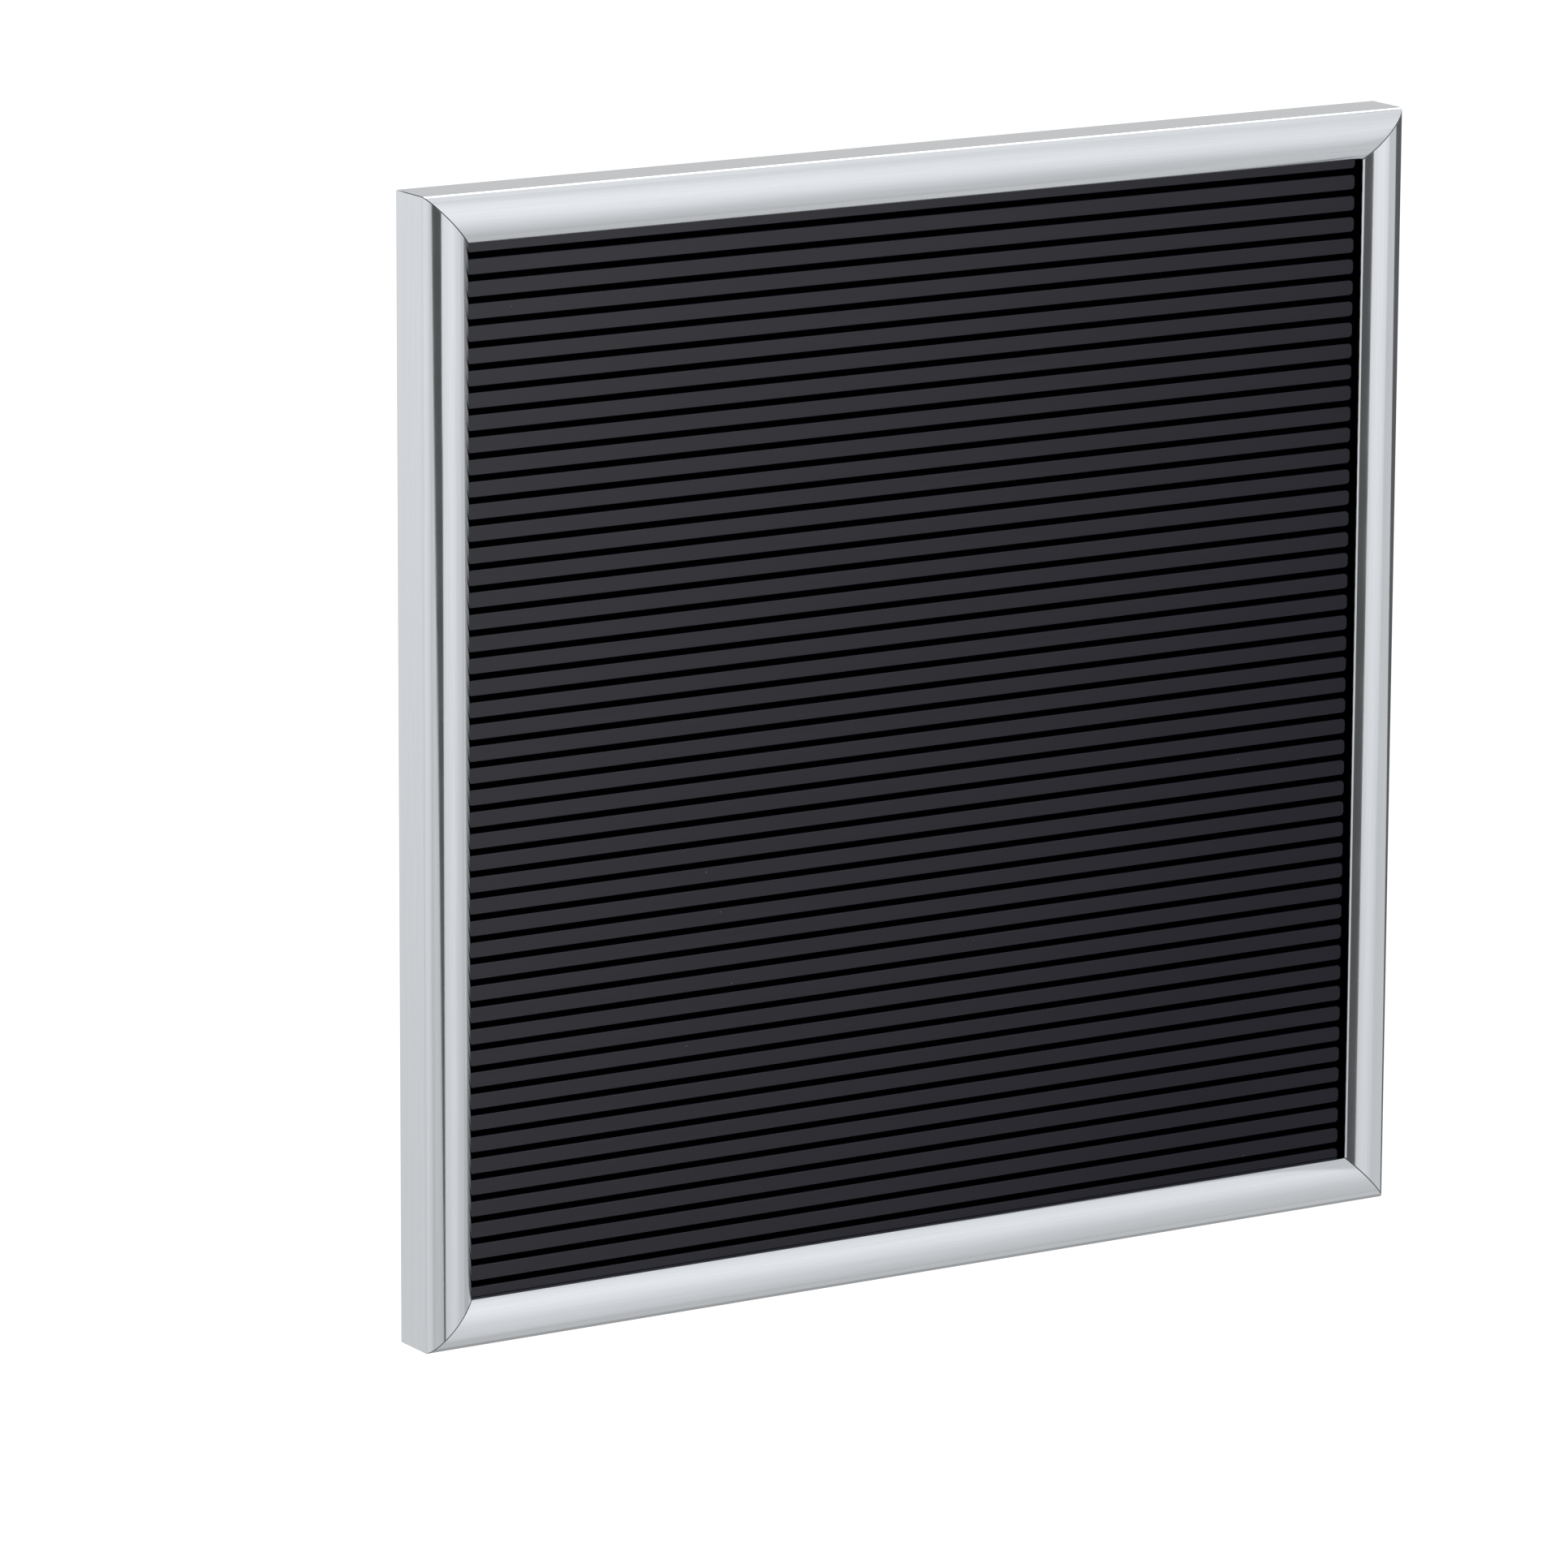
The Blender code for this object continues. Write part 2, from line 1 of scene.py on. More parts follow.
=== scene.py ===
# Letter board: satin anodised aluminium frame, black grooved plate, hanging hardware behind
import math
import bmesh
import bpy
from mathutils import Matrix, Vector


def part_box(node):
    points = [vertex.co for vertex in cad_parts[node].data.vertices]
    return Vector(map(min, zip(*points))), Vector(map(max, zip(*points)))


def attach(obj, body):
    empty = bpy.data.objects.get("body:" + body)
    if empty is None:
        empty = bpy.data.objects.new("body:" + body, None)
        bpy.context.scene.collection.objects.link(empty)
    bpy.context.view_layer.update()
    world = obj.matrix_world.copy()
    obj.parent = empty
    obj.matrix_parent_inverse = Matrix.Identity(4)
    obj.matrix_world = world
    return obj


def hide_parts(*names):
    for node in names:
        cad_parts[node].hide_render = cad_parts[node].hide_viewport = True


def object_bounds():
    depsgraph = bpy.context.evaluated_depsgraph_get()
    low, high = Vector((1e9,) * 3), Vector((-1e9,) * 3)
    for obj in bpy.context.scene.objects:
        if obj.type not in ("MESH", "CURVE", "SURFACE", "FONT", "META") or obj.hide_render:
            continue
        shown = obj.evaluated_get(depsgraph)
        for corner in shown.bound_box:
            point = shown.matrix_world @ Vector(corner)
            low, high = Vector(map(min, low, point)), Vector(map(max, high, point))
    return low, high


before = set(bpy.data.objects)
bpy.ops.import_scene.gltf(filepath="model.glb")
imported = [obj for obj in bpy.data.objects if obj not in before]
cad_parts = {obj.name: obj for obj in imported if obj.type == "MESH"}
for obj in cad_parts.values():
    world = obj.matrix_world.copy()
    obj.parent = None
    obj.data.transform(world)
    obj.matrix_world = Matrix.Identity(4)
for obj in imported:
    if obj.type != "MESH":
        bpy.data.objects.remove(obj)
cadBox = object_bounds()
boardCentre = (cadBox[0] + cadBox[1]) / 2
mm = 0.001
noiseRange = (0.3, 0.7)     # nearly all of a noise texture lies between these


def linear(hexColour):
    # sRGB hex to the linear values that a shader takes
    channels = [int(hexColour[i:i + 2], 16) / 255 for i in (1, 3, 5)]
    return [c / 12.92 if c <= 0.04045 else ((c + 0.055) / 1.055) ** 2.4 for c in channels] + [1.0]


def addNode(tree, kind, settings=None, links=None, stops=None):
    # settings are sockets by name or number, or else the node's own properties
    node = tree.nodes.new("ShaderNode" + kind)
    for name, value in (settings or {}).items():
        if isinstance(name, int) or name in node.inputs:
            node.inputs[name].default_value = value
        else:
            setattr(node, name, value)
    for name, source in (links or {}).items():
        tree.links.new(source, node.inputs[name])
    for number, (position, colour) in enumerate(stops or []):
        elements = node.color_ramp.elements
        element = elements[number] if number < 2 else elements.new(position)
        element.position = position
        element.color = colour
    return node


def newMaterial(name):
    material = bpy.data.materials.new(name)
    material.use_nodes = True
    return material, material.node_tree, material.node_tree.nodes["Principled BSDF"]


def drawnOut(ratio, alongX):
    # the scale that draws a pattern out along a lying or an upright piece
    return (ratio, 1, 1) if alongX else (1, 1, ratio)


def varyRoughness(tree, shader, noise, look):
    low, high = look["roughness"]
    rough = addNode(tree, "MapRange", {"From Min": noiseRange[0], "From Max": noiseRange[1],
                                       "To Min": low, "To Max": high}, {"Value": noise})
    tree.links.new(rough.outputs["Result"], shader.inputs["Roughness"])


# Aluminium 6063, extruded, satin etched and clear anodised:
# a soft grey mirror with fine lines along its length

aluminium = {
    "colour": "#d9dce0",
    "lineColour": "#d6d9dd",
    "lineBlend": (0.35, 0.6),   # the noise levels where one colour has turned into the other
    "roughness": (0.10, 0.14),
    "lineWidth": 0.35 * mm,     # real die lines are about 0.05 mm, drawn wider so that they show
    "lineRatio": 0.01,          # a line's width to its length
    "lineDepth": 0.0025 * mm,
    "waveWidth": 5 * mm,        # the slight unevenness of an extruded face
    "waveLength": 45 * mm,
    "waveDepth": 0.0025 * mm,
    "bumpStrength": 0.25,
    "cloudSize": 18 * mm,
}


def anodisedAluminium(name, alongX):
    look = aluminium
    material, tree, shader = newMaterial(name)
    place = addNode(tree, "TexCoord").outputs["Object"]
    narrow = addNode(tree, "Mapping", {"Scale": drawnOut(look["lineRatio"], alongX)},
                     {"Vector": place})
    lines = addNode(tree, "TexNoise", {"Scale": 1 / look["lineWidth"], "Detail": 3.0},
                    {"Vector": narrow.outputs["Vector"]}).outputs["Fac"]
    waveRatio = look["waveWidth"] / look["waveLength"]
    broad = addNode(tree, "Mapping", {"Scale": drawnOut(waveRatio, alongX)}, {"Vector": place})
    waves = addNode(tree, "TexNoise", {"Scale": 1 / look["waveWidth"], "Detail": 1.0},
                    {"Vector": broad.outputs["Vector"]}).outputs["Fac"]
    clouds = addNode(tree, "TexNoise", {"Scale": 1 / look["cloudSize"], "Detail": 5.0},
                     {"Vector": place}).outputs["Fac"]
    inLine, outside = look["lineBlend"]
    tone = addNode(tree, "ValToRGB", {}, {"Fac": lines},
                   [(inLine, linear(look["lineColour"])), (outside, linear(look["colour"]))])
    tree.links.new(tone.outputs["Color"], shader.inputs["Base Color"])
    varyRoughness(tree, shader, clouds, look)
    shader.inputs["Metallic"].default_value = 1.0
    wavy = addNode(tree, "Bump", {"Strength": look["bumpStrength"], "Distance": look["waveDepth"]},
                   {"Height": waves})
    lined = addNode(tree, "Bump", {"Strength": look["bumpStrength"], "Distance": look["lineDepth"]},
                    {"Height": lines, "Normal": wavy.outputs["Normal"]})
    tree.links.new(lined.outputs["Normal"], shader.inputs["Normal"])
    return material


# Black polystyrene, injection moulded:
# a satin sheen, faint flow lines along the ribs and a few specks of dust, with painted shade deep
# in the grooves and a painted sheen that fades from the upper left to the right

polystyrene = {
    "colour": "#07081a",
    "flowColour": "#0a0b1f",
    "dustColour": "#8d8d8d",
    "roughness": (0.13, 0.18),
    "gloss": (0.46, 0.25),      # painted sheen: the reflection is strongest at the upper left and fades to the right
    "worn": (-0.18, 0.15),      # measured from the board's middle, along a slanted line
    "slant": -0.5,
    "grooveColour": "#020203",
    "grooveShade": (0.25 * mm, 0.9 * mm),   # painted shade: below the ribs' fronts the grooves are painted near black and lose their sheen
    "flowWidth": 1.2 * mm,
    "flowRatio": 0.02,
    "flowBlend": (0.35, 0.7),
    "grain": 0.3 * mm,          # about twice the real mould grain, so that it shows
    "grainDepth": 0.02 * mm,
    "grainStrength": 0.12,
    "warpSize": 40 * mm,        # the slight unevenness of a thin moulded plate
    "warpRatio": 0.4,
    "warpDepth": 0.25 * mm,
    "warpStrength": 0.3,
    "dustSpacing": 14 * mm,
    "dustRadius": (0.084 * mm, 0.168 * mm),     # a speck's solid middle and its faded edge
}


def mouldedPolystyrene():
    look = polystyrene
    material, tree, shader = newMaterial("mouldedBlackPolystyrene")
    place = addNode(tree, "TexCoord").outputs["Object"]
    along = addNode(tree, "Mapping", {"Scale": drawnOut(look["flowRatio"], True)},
                    {"Vector": place})
    flow = addNode(tree, "TexNoise", {"Scale": 1 / look["flowWidth"], "Detail": 3.0},
                   {"Vector": along.outputs["Vector"]})
    outside, inFlow = look["flowBlend"]
    tone = addNode(tree, "ValToRGB", {}, {"Fac": flow.outputs["Fac"]},
                   [(outside, linear(look["colour"])), (inFlow, linear(look["flowColour"]))])
    cells = addNode(tree, "TexVoronoi", {"Scale": 1 / look["dustSpacing"]}, {"Vector": place})
    solid, faded = [radius / look["dustSpacing"] for radius in look["dustRadius"]]
    specks = addNode(tree, "MapRange", {"From Min": solid, "From Max": faded,
                                        "To Min": 1.0, "To Max": 0.0},
                     {"Value": cells.outputs["Distance"]})
    dusty = addNode(tree, "Mix", {"data_type": "RGBA", 7: linear(look["dustColour"])},
                    {"Factor": specks.outputs["Result"], 6: tone.outputs["Color"]})
    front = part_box("letter_panel")[0].y
    axes = addNode(tree, "SeparateXYZ", {}, {"Vector": place})
    # painted shade: deeper than the ribs' fronts the colour turns near black and the sheen goes
    shallow, deep = look["grooveShade"]
    grooveShadeMask = addNode(tree, "MapRange", {"From Min": front + shallow, "From Max": front + deep},
                     {"Value": axes.outputs["Y"]}).outputs["Result"]
    shaded = addNode(tree, "Mix", {"data_type": "RGBA", 7: linear(look["grooveColour"])},
                     {"Factor": grooveShadeMask, 6: dusty.outputs[2]})
    tree.links.new(shaded.outputs[2], shader.inputs["Base Color"])
    broad = addNode(tree, "Mapping", {"Scale": drawnOut(look["warpRatio"], True)},
                    {"Vector": place})
    warp = addNode(tree, "TexNoise", {"Scale": 1 / look["warpSize"], "Detail": 1.0},
                   {"Vector": broad.outputs["Vector"]})
    varyRoughness(tree, shader, warp.outputs["Fac"], look)
    # painted sheen: the specular level falls along the slanted line from the upper left to the
    # right
    sheenFull, worn = look["worn"]
    boardMiddle = look["slant"] * boardCentre.z
    slanted = addNode(tree, "Math", {"operation": "MULTIPLY_ADD", 1: look["slant"]},
                      {0: axes.outputs["Z"], 2: axes.outputs["X"]})
    sheenGradient = addNode(tree, "MapRange", {"From Min": boardMiddle + sheenFull,
                                        "From Max": boardMiddle + worn,
                                        "To Min": look["gloss"][0], "To Max": look["gloss"][1]},
                     {"Value": slanted.outputs["Value"]})
    ribFront = addNode(tree, "MapRange", {"To Min": 1.0, "To Max": 0.0}, {"Value": grooveShadeMask})
    gloss = addNode(tree, "Math", {"operation": "MULTIPLY"},
                    {0: sheenGradient.outputs["Result"], 1: ribFront.outputs["Result"]})
    tree.links.new(gloss.outputs["Value"], shader.inputs["Specular IOR Level"])
    grain = addNode(tree, "TexNoise", {"Scale": 1 / look["grain"], "Detail": 2.0},
                    {"Vector": place})
    warped = addNode(tree, "Bump", {"Strength": look["warpStrength"],
                                    "Distance": look["warpDepth"]},
                     {"Height": warp.outputs["Fac"]})
    grained = addNode(tree, "Bump", {"Strength": look["grainStrength"],
                                     "Distance": look["grainDepth"]},
                      {"Height": grain.outputs["Fac"], "Normal": warped.outputs["Normal"]})
    tree.links.new(grained.outputs["Normal"], shader.inputs["Normal"])
    return material


# Hardboard, wet pressed on a wire screen: a brown mat of fibres with the screen's fine print

hardboard = {
    "colours": ("#6f5237", "#876645", "#9f7d58"),
    "colourLevels": (0.45, 0.75, 1.0),
    "roughness": 0.78,
    "fibre": 0.9 * mm,
    "fibreShare": 0.6,          # how much the fibres colour the board beside its clouds
    "fibreDepth": 0.05 * mm,
    "cloudSize": 25 * mm,
    "wireSpacing": 2.8 * mm,    # about twice the real screen's, so that it shows
    "wireAngle": 45,
    "wireDepth": 0.08 * mm,
    "bumpStrength": 0.5,
}
waveRepeat = 0.314  # a wave texture repeats every 0.314 units at scale 1


def pressedHardboard():
    look = hardboard
    material, tree, shader = newMaterial("pressedHardboard")
    place = addNode(tree, "TexCoord").outputs["Object"]
    fibres = addNode(tree, "TexNoise", {"Scale": 1 / look["fibre"], "Detail": 6.0},
                     {"Vector": place})
    clouds = addNode(tree, "TexNoise", {"Scale": 1 / look["cloudSize"], "Detail": 3.0},
                     {"Vector": place})
    mixed = addNode(tree, "Math", {"operation": "MULTIPLY_ADD", 1: look["fibreShare"]},
                    {0: fibres.outputs["Fac"], 2: clouds.outputs["Fac"]})
    dark, brown, pale = zip(look["colourLevels"], [linear(colour) for colour in look["colours"]])
    tone = addNode(tree, "ValToRGB", {}, {"Fac": mixed.outputs["Value"]}, [dark, pale, brown])
    tree.links.new(tone.outputs["Color"], shader.inputs["Base Color"])
    shader.inputs["Roughness"].default_value = look["roughness"]
    wires = []
    for turn in (look["wireAngle"], -look["wireAngle"]):
        turned = addNode(tree, "Mapping", {"Rotation": (0, math.radians(turn), 0)},
                         {"Vector": place})
        wave = addNode(tree, "TexWave", {"bands_direction": "X",
                                         "Scale": waveRepeat / look["wireSpacing"]},
                       {"Vector": turned.outputs["Vector"]})
        wires.append(wave.outputs["Fac"])
    screen = addNode(tree, "Math", {"operation": "MAXIMUM"}, {0: wires[0], 1: wires[1]})
    printed = addNode(tree, "Bump", {"Strength": look["bumpStrength"],
                                     "Distance": look["wireDepth"]},
                      {"Height": screen.outputs["Value"]})
    fibrous = addNode(tree, "Bump", {"Strength": look["bumpStrength"],
                                     "Distance": look["fibreDepth"]},
                      {"Height": fibres.outputs["Fac"], "Normal": printed.outputs["Normal"]})
    tree.links.new(fibrous.outputs["Normal"], shader.inputs["Normal"])
    return material


# Pressed steel, bright zinc plated: pale grey metal with soft clouds and tool marks

zinc = {
    "colour": "#d3d3cf",
    "cloudColour": "#b3b5b6",
    "cloudBlend": (0.3, 0.65),
    "roughness": (0.24, 0.42),
    "cloudSize": 4 * mm,
    "markWidth": 0.25 * mm,
    "markRatio": 0.1,
    "markDepth": 0.01 * mm,
    "markStrength": 0.2,
}


def zincPlatedSteel():
    look = zinc
    material, tree, shader = newMaterial("zincPlatedSteel")
    place = addNode(tree, "TexCoord").outputs["Object"]
    clouds = addNode(tree, "TexNoise", {"Scale": 1 / look["cloudSize"], "Detail": 5.0},
                     {"Vector": place})
    inCloud, outside = look["cloudBlend"]
    tone = addNode(tree, "ValToRGB", {}, {"Fac": clouds.outputs["Fac"]},
                   [(inCloud, linear(look["cloudColour"])), (outside, linear(look["colour"]))])
    tree.links.new(tone.outputs["Color"], shader.inputs["Base Color"])
    shader.inputs["Metallic"].default_value = 1.0
    varyRoughness(tree, shader, clouds.outputs["Fac"], look)
    along = addNode(tree, "Mapping", {"Scale": drawnOut(look["markRatio"], True)},
                    {"Vector": place})
    marks = addNode(tree, "TexNoise", {"Scale": 1 / look["markWidth"], "Detail": 3.0},
                    {"Vector": along.outputs["Vector"]})
    marked = addNode(tree, "Bump", {"Strength": look["markStrength"],
                                    "Distance": look["markDepth"]},
                     {"Height": marks.outputs["Fac"]})
    tree.links.new(marked.outputs["Normal"], shader.inputs["Normal"])
    return material


# Spring strip, rolled and blued: dark blue-grey metal with rolling lines

springSteel = {
    "colour": "#70747d",
    "lineColour": "#4a4e58",
    "lineBlend": (0.3, 0.7),
    "roughness": 0.3,
    "lineWidth": 0.4 * mm,
    "lineRatio": 0.02,
    "lineDepth": 0.01 * mm,
    "lineStrength": 0.3,
}


def bluedSpringSteel(name, alongX):
    look = springSteel
    material, tree, shader = newMaterial(name)
    place = addNode(tree, "TexCoord").outputs["Object"]
    along = addNode(tree, "Mapping", {"Scale": drawnOut(look["lineRatio"], alongX)},
                    {"Vector": place})
    lines = addNode(tree, "TexNoise", {"Scale": 1 / look["lineWidth"], "Detail": 3.0},
                    {"Vector": along.outputs["Vector"]})
    inLine, outside = look["lineBlend"]
    tone = addNode(tree, "ValToRGB", {}, {"Fac": lines.outputs["Fac"]},
                   [(inLine, linear(look["lineColour"])), (outside, linear(look["colour"]))])
    tree.links.new(tone.outputs["Color"], shader.inputs["Base Color"])
    shader.inputs["Metallic"].default_value = 1.0
    shader.inputs["Roughness"].default_value = look["roughness"]
    rolled = addNode(tree, "Bump", {"Strength": look["lineStrength"],
                                    "Distance": look["lineDepth"]},
                     {"Height": lines.outputs["Fac"]})
    tree.links.new(rolled.outputs["Normal"], shader.inputs["Normal"])
    return material


# Moulded rubber: dark grey and matt, with a faint bloom

rubber = {
    "colour": "#2f2f31",
    "bloomColour": "#434344",
    "bloomBlend": (0.35, 0.7),
    "roughness": 0.72,
    "bloomSize": 2 * mm,
    "grain": 0.3 * mm,
    "grainDepth": 0.03 * mm,
    "grainStrength": 0.3,
}


def mouldedRubber():
    look = rubber
    material, tree, shader = newMaterial("mouldedRubber")
    place = addNode(tree, "TexCoord").outputs["Object"]
    bloom = addNode(tree, "TexNoise", {"Scale": 1 / look["bloomSize"], "Detail": 5.0},
                    {"Vector": place})
    outside, inBloom = look["bloomBlend"]
    tone = addNode(tree, "ValToRGB", {}, {"Fac": bloom.outputs["Fac"]},
                   [(outside, linear(look["colour"])), (inBloom, linear(look["bloomColour"]))])
    tree.links.new(tone.outputs["Color"], shader.inputs["Base Color"])
    shader.inputs["Roughness"].default_value = look["roughness"]
    grain = addNode(tree, "TexNoise", {"Scale": 1 / look["grain"], "Detail": 3.0},
                    {"Vector": place})
    grained = addNode(tree, "Bump", {"Strength": look["grainStrength"],
                                     "Distance": look["grainDepth"]},
                      {"Height": grain.outputs["Fac"]})
    tree.links.new(grained.outputs["Normal"], shader.inputs["Normal"])
    return material


# Each piece is a copy of its solid, with its sharp edges broken as on the real one

mergeDistance = 0.002 * mm
flatAngle = 0.6     # degrees between two triangles of one flat face, at most


def openCopy(node):
    # the solid's loose triangles are merged, and its flat faces made whole again
    bm = bmesh.new()
    bm.from_mesh(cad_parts[node].data)
    bmesh.ops.remove_doubles(bm, verts=bm.verts, dist=mergeDistance)
    bmesh.ops.dissolve_limit(bm, angle_limit=math.radians(flatAngle),
                             verts=bm.verts, edges=bm.edges)
    return bm


def breakEdges(bm, edges, width):
    bmesh.ops.bevel(bm, geom=edges, offset=width, offset_type="OFFSET", segments=2, profile=0.5,
                    affect="EDGES", material=-1, clamp_overlap=True)


def finishPiece(bm, name, node, material, smoothAngle):
    mesh = bpy.data.meshes.new(name)
    bm.to_mesh(mesh)
    bm.free()
    mesh.materials.append(material)
    mesh.shade_smooth()
    mesh.set_sharp_from_angle(angle=math.radians(smoothAngle))
    piece = bpy.data.objects.new(name, mesh)
    bpy.context.scene.collection.objects.link(piece)
    weighted = piece.modifiers.new("flatFaces", "WEIGHTED_NORMAL")
    weighted.keep_sharp = True
    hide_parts(node)
    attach(piece, "root")


rail = {
    "towardsMitre": 0.08 * mm,  # each end is drawn this much nearer to the joint than in the solid
    "endBevel": 0.07 * mm,
    "sightLift": 0.25 * mm,     # the inner slope flattens a little before the sight edge
    "liftFrom": 10.6 * mm,      # measured across the rail's face
    "sightEdge": 12.9 * mm,
    "slopeLevel": -16.3 * mm,   # the slope and its edge lie in front of this
    "smoothAngle": 30,
}


def makeRail(node, name, axis, material):
    bm = openCopy(node)
    low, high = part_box(node)
    middle = (low[axis] + high[axis]) / 2
    across = 2 - axis
    outer = max((low[across], high[across]), key=lambda side: abs(side - boardCentre[across]))
    liftWidth = rail["sightEdge"] - rail["liftFrom"]
    for vert in bm.verts:
        vert.co[axis] += math.copysign(rail["towardsMitre"], vert.co[axis] - middle)
        inward = (abs(vert.co[across] - outer) - rail["liftFrom"]) / liftWidth
        if inward > 0 and vert.co.y < rail["slopeLevel"]:
            vert.co.y -= rail["sightLift"] * inward ** 2
    bm.normal_update()
    # only the mitred ends face half along and half across the rail
    ends = [f for f in bm.faces if abs(f.normal.x) > 0.5 and abs(f.normal.z) > 0.5
            and abs(f.normal.y) < 0.1]
    breakEdges(bm, list({e for f in ends for e in f.edges}), rail["endBevel"])
    finishPiece(bm, name, node, material, rail["smoothAngle"])


def makePiece(node, name, material, look):
    bm = openCopy(node)
    if "ribEnds" in look:
        least, most = look["ribEnds"]
        for vert in bm.verts:
            if least < vert.co.x < most:
                vert.co.x += look["ribStretch"]
    sharp = math.radians(look["sharpAngle"])
    corners = [e for e in bm.edges if e.is_manifold and e.calc_face_angle(0) > sharp]
    breakEdges(bm, corners, look["bevel"])
    finishPiece(bm, name, node, material, look["smoothAngle"])


panel = {
    "bevel": 0.09 * mm,
    "sharpAngle": 30,
    "smoothAngle": 60,
    "ribEnds": (130 * mm, 140 * mm),    # the ribs' right ends lie between these
    "ribStretch": 0.45 * mm,            # and reach this much nearer to the rail
}
backing = {"bevel": 0.1 * mm, "sharpAngle": 40, "smoothAngle": 40}
pressing = {"bevel": 0.08 * mm, "sharpAngle": 40, "smoothAngle": 40}
springStrip = {"bevel": 0.05 * mm, "sharpAngle": 40, "smoothAngle": 40}
screw = {"bevel": 0.05 * mm, "sharpAngle": 40, "smoothAngle": 40}
bumper = {"bevel": 0.15 * mm, "sharpAngle": 40, "smoothAngle": 40}

aluminiumLying = anodisedAluminium("anodisedAluminiumLying", True)
aluminiumUpright = anodisedAluminium("anodisedAluminiumUpright", False)
makeRail("top_rail", "topRail", 0, aluminiumLying)
makeRail("bottom_rail", "bottomRail", 0, aluminiumLying)
makeRail("left_rail", "leftRail", 2, aluminiumUpright)
makeRail("right_rail", "rightRail", 2, aluminiumUpright)
print("rails made")

makePiece("letter_panel", "letterPanel", mouldedPolystyrene(), panel)
print("panel made")

makePiece("backing_board", "backingBoard", pressedHardboard(), backing)
print("backing made")

zincSteel = zincPlatedSteel()
springLying = bluedSpringSteel("bluedSpringSteelLying", True)
springUpright = bluedSpringSteel("bluedSpringSteelUpright", False)
rubberBlack = mouldedRubber()
for node in sorted(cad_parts):
    words = node.split("_")
    name = words[0] + "".join(word.capitalize() for word in words[1:])
    if node.startswith(("corner_plate", "corner_shim", "sawtooth_hanger")):
        makePiece(node, name, zincSteel, pressing)
    elif node.startswith("corner_screw"):
        makePiece(node, name, springLying, screw)
    elif node.startswith("spring_clip"):
        lying = "top" in words or "bottom" in words
        makePiece(node, name, springLying if lying else springUpright, springStrip)
    elif node.startswith("wall_bumper"):
        makePiece(node, name, rubberBlack, bumper)
print("hardware made")


# Studio: a white room with soft lamps, whose walls show in the metal

studio = {
    "skyLight": 0.62,           # the even light on the board, while camera and metal see white
    "floorHeight": -1.9,
    "floorSize": 60.0,
    "floorColour": "#e6e6e6",
    "floorRoughness": 0.9,
    "floorGlow": 0.60,          # makes the floor white, but not near the board, where it is a painted pool of shade round the board's real shadow
    "floorShade": (1.6, 4.0),   # the glow starts at the first distance and is full at the second
}
white = (1, 1, 1, 1)


def whiteRays(tree):
    # 1 for what the camera sees, itself or in a gloss or through a glass, and 0 for light on things
    path = addNode(tree, "LightPath")
    mirrored = addNode(tree, "Math", {"operation": "MAXIMUM"},
                       {0: path.outputs["Is Glossy Ray"], 1: path.outputs["Is Transmission Ray"]})
    seen = addNode(tree, "Math", {"operation": "MAXIMUM"},
                   {0: mirrored.outputs["Value"], 1: path.outputs["Is Camera Ray"]})
    return seen.outputs["Value"]


def makeWorld():
    world = bpy.data.worlds.new("whiteStudio")
    bpy.context.scene.world = world
    world.use_nodes = True
    tree = world.node_tree
    strength = addNode(tree, "MapRange", {"To Min": studio["skyLight"], "To Max": 1.0},
                       {"Value": whiteRays(tree)})
    tree.nodes["Background"].inputs["Color"].default_value = white
    tree.links.new(strength.outputs["Result"], tree.nodes["Background"].inputs["Strength"])


def linkStage(name, bm, material):
    mesh = bpy.data.meshes.new(name)
    bm.to_mesh(mesh)
    bm.free()
    mesh.materials.append(material)
    thing = bpy.data.objects.new(name, mesh)
    bpy.context.scene.collection.objects.link(thing)
    return thing


def makeFloor():
    material, tree, shader = newMaterial("paleFloorPaint")
    shader.inputs["Base Color"].default_value = linear(studio["floorColour"])
    shader.inputs["Roughness"].default_value = studio["floorRoughness"]
    shader.inputs["Specular IOR Level"].default_value = 0.0
    shader.inputs["Emission Color"].default_value = white
    place = addNode(tree, "TexCoord").outputs["Object"]
    reach = addNode(tree, "VectorMath", {"operation": "LENGTH"}, {0: place})
    # painted shade: the glow fades out towards the board, so the floor is darker round it
    near, far = studio["floorShade"]
    bright = addNode(tree, "MapRange", {"From Min": near, "From Max": far,
                                        "To Max": studio["floorGlow"]},
                     {"Value": reach.outputs["Value"]})
    glow = addNode(tree, "Math", {"operation": "MULTIPLY"},
                   {0: bright.outputs["Result"], 1: whiteRays(tree)})
    tree.links.new(glow.outputs["Value"], shader.inputs["Emission Strength"])
    bm = bmesh.new()
    bmesh.ops.create_grid(bm, x_segments=1, y_segments=1, size=studio["floorSize"] / 2)
    bmesh.ops.translate(bm, verts=bm.verts, vec=(0, 0, studio["floorHeight"]))
    linkStage("paleFloor", bm, material)


def glowingMaterial(name):
    material, tree, shader = newMaterial(name)
    tree.nodes.remove(shader)
    glow = addNode(tree, "Emission")
    tree.links.new(glow.outputs["Emission"], tree.nodes["Material Output"].inputs["Surface"])
    return material, tree, glow


def showInReflections(thing):
    thing.visible_camera = False
    thing.visible_diffuse = False
    thing.visible_shadow = False


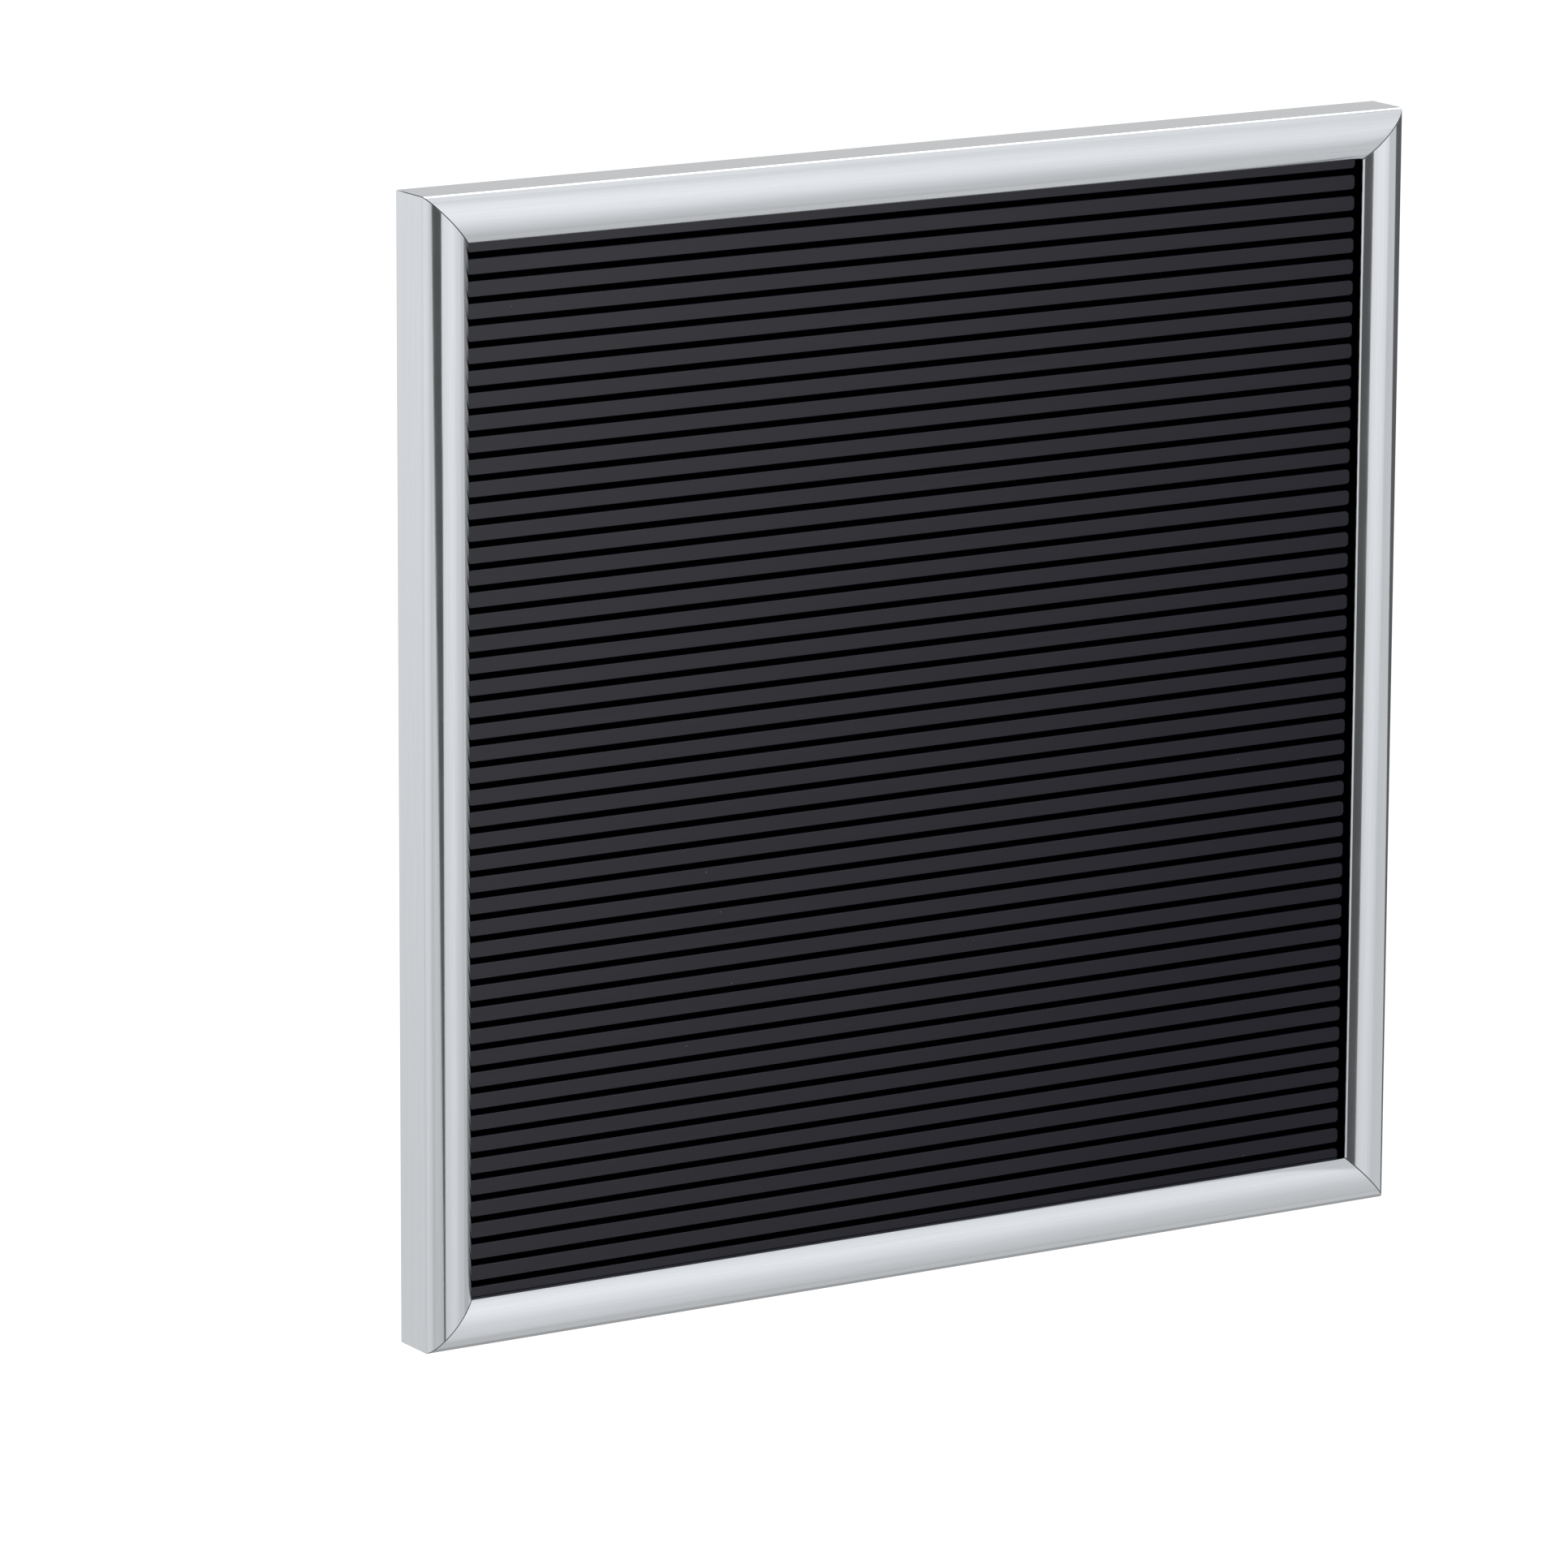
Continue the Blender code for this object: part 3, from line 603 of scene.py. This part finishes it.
walls = {
    # the room round the board, and two lit screens in front of it, which only reflections see:
    # their brightness adds up from curves of (metres, brightness) by height, width and depth
    "room": {
        "low": (-1.9, -1.17, -1.9),
        "high": (1.9, 1.5, 2.4),
        "byHeight": [(-1.9, 0.70), (-0.7, 0.85), (-0.45, 0.95), (-0.2, 1.0), (0.3, 1.02),
                     (2.4, 1.0)],
        "byWidth": [(-1.9, 0.02), (-1.1, 0.07), (-0.6, 0.0), (0.5, 0.0), (1.9, -0.20)],
        "byDepth": [(-1.17, -0.22), (-0.5, -0.06), (0.2, 0.0), (0.9, -0.06), (1.5, -0.10)],
    },
    "screen": {
        "low": (-0.10, -0.601, -1.9),
        "high": (1.9, -0.6, 2.4),
        "byHeight": [(-1.9, 0.76), (-1.1, 0.86), (-0.74, 0.875), (-0.5, 0.905), (-0.34, 0.97),
                     (-0.15, 1.08), (0.1, 1.18), (0.5, 1.14), (0.9, 1.10), (2.4, 1.10)],
        "byWidth": [(-0.10, -0.13), (0.0, -0.10), (0.1, -0.055), (0.2, -0.04), (0.3, -0.055),
                    (0.45, -0.12), (0.6, -0.16), (0.8, -0.17), (1.0, -0.17), (1.9, -0.18)],
    },
    "farScreen": {
        "low": (-0.262, -1.041, -1.9),
        "high": (0.2, -1.04, 2.4),
        "byHeight": [(-1.9, 0.76), (-0.88, 0.89), (-0.62, 0.91), (-0.43, 0.97), (-0.22, 1.08),
                     (0.03, 1.18), (0.5, 1.14), (2.4, 1.10)],
        "byWidth": [(-0.262, -0.22), (-0.19, -0.15), (-0.05, -0.12), (0.2, -0.12)],
    },
}


def brightnessCurve(tree, source, points):
    # a line through points of place and brightness
    first, last = points[0][0], points[-1][0]
    lowest = min(value for place, value in points)
    highest = max(value for place, value in points)
    along = addNode(tree, "MapRange", {"From Min": first, "From Max": last}, {"Value": source})
    stops = []
    for place, value in points:
        grey = (value - lowest) / (highest - lowest)
        stops.append(((place - first) / (last - first), (grey, grey, grey, 1)))
    curve = addNode(tree, "ValToRGB", {}, {"Fac": along.outputs["Result"]},
                    [stops[0], stops[-1]] + stops[1:-1])
    return addNode(tree, "MapRange", {"To Min": lowest, "To Max": highest},
                   {"Value": curve.outputs["Color"]}).outputs["Result"]


def makeWalls(name, look):
    material, tree, glow = glowingMaterial(name + "Paint")
    place = addNode(tree, "TexCoord").outputs["Object"]
    axes = addNode(tree, "SeparateXYZ", {}, {"Vector": place})
    total = brightnessCurve(tree, axes.outputs["Z"], look["byHeight"])
    for axis, curve in (("X", "byWidth"), ("Y", "byDepth")):
        if curve in look:
            part = brightnessCurve(tree, axes.outputs[axis], look[curve])
            added = addNode(tree, "Math", {"operation": "ADD"}, {0: total, 1: part})
            total = added.outputs["Value"]
    tree.links.new(total, glow.inputs["Strength"])
    bm = bmesh.new()
    bmesh.ops.create_cube(bm, size=1.0)
    low, high = Vector(look["low"]), Vector(look["high"])
    bmesh.ops.scale(bm, verts=bm.verts, vec=high - low)
    bmesh.ops.translate(bm, verts=bm.verts, vec=(low + high) / 2)
    topAndBottom = [f for f in bm.faces if abs(f.normal.z) > 0.9]
    bmesh.ops.delete(bm, geom=topAndBottom, context="FACES_ONLY")
    showInReflections(linkStage(name, bm, material))


cards = {
    # flat cloths that only reflections see: brightness, then the corners
    "darkBehindCamera": (0.10, [    # the dark band down the left rail's crown
        (-0.225, -1.04, -0.81), (-0.225, -1.04, -0.48), (-0.262, -1.04, -0.369),
        (-0.262, -1.04, 0.52), (-1.80, -1.04, 0.52), (-1.80, -1.04, -0.153),
        (-1.268, -1.04, -0.255), (-0.948, -1.04, -0.315), (-0.632, -1.04, -0.393),
        (-0.464, -1.04, -0.479), (-0.348, -1.04, -0.566), (-0.30, -1.04, -0.701)]),
    "darkLeg": (0.10, [             # the dark band along the right rail's inner slope
        (-0.160, -0.22, -0.60), (-0.160, -0.22, -0.09), (-0.285, -1.04, -0.25),
        (-0.285, -1.04, -0.75)]),
    "darkRight": (0.12, [           # the dark band down the right rail's outer edge
        (0.19, -0.040, 0.012), (0.19, -0.0375, -0.02), (0.19, -0.032, -0.085),
        (0.19, -0.0255, -0.155), (0.19, -0.016, -0.225), (0.19, -0.008, -0.32),
        (0.19, 0.016, -0.32), (0.19, 0.016, 0.012)]),
    "greyRight": (0.72, [           # tones down the right rail's crown
        (0.191, -0.035, 0.012), (0.191, -0.085, 0.012), (0.191, -0.085, -0.31),
        (0.191, -0.005, -0.31), (0.191, -0.005, -0.25)]),
    "greyBelow": (0.42, [           # the lower rail's outer edge
        (-0.05, 0.09, -1.0), (1.1, 0.09, -1.0), (1.1, 1.45, -1.0), (-0.05, 1.45, -1.0)]),
    "rearWall": (0.66, [            # the upper rail's flat side
        (-0.3, 1.2, -0.05), (-0.3, 1.2, 0.75), (2.2, 1.2, 0.75), (2.2, 1.2, -0.05)]),
    "rearStrip": (2.6, [            # the white line along the upper rail's outer edge
        (0.2, 0.50, 1.0), (0.2, 1.15, 1.0), (1.2, 1.15, 1.0), (1.2, 0.50, 1.0)]),
}


def makeCard(name, brightness, corners):
    material, tree, glow = glowingMaterial(name + "Cloth")
    glow.inputs["Strength"].default_value = brightness
    bm = bmesh.new()
    bm.faces.new([bm.verts.new(corner) for corner in corners])
    showInReflections(linkStage(name, bm, material))


lamps = {
    # place, width, height, brightness
    "keyLamp": ((-1.2, -1.6, 1.6), 1.4, 1.4, 0.9),
    "fillLamp": ((1.6, 1.4, 1.0), 1.4, 1.4, 0.5),
}


def makeLamp(name, place, width, height, brightness):
    # the lamps' light is in the walls' brightness already, so the metal doesn't see them again
    lamp = bpy.data.lights.new(name, "AREA")
    lamp.shape = "RECTANGLE"
    lamp.size = width
    lamp.size_y = height
    lamp.energy = brightness * math.pi * width * height
    holder = bpy.data.objects.new(name, lamp)
    holder.location = place
    holder.rotation_euler = (boardCentre - holder.location).to_track_quat("-Z", "Y").to_euler()
    bpy.context.scene.collection.objects.link(holder)
    holder.visible_camera = False
    holder.visible_glossy = False


view = {
    "place": (-1.29595, -2.02264, 0.37563),
    "turn": (77.347, -0.258, -31.933),  # degrees
    "lens": 214.8,
    "sensor": 36,
}


def makeCamera():
    camera = bpy.data.objects.new("camera", bpy.data.cameras.new("camera"))
    camera.location = view["place"]
    camera.rotation_euler = [math.radians(angle) for angle in view["turn"]]
    camera.data.lens = view["lens"]
    camera.data.sensor_width = view["sensor"]
    bpy.context.scene.collection.objects.link(camera)
    bpy.context.scene.camera = camera


makeWorld()
makeFloor()
for name, look in walls.items():
    makeWalls(name, look)
for name, facts in cards.items():
    makeCard(name, *facts)
for name, facts in lamps.items():
    makeLamp(name, *facts)
makeCamera()
bpy.context.scene.view_settings.view_transform = "Standard"
print("studio made")
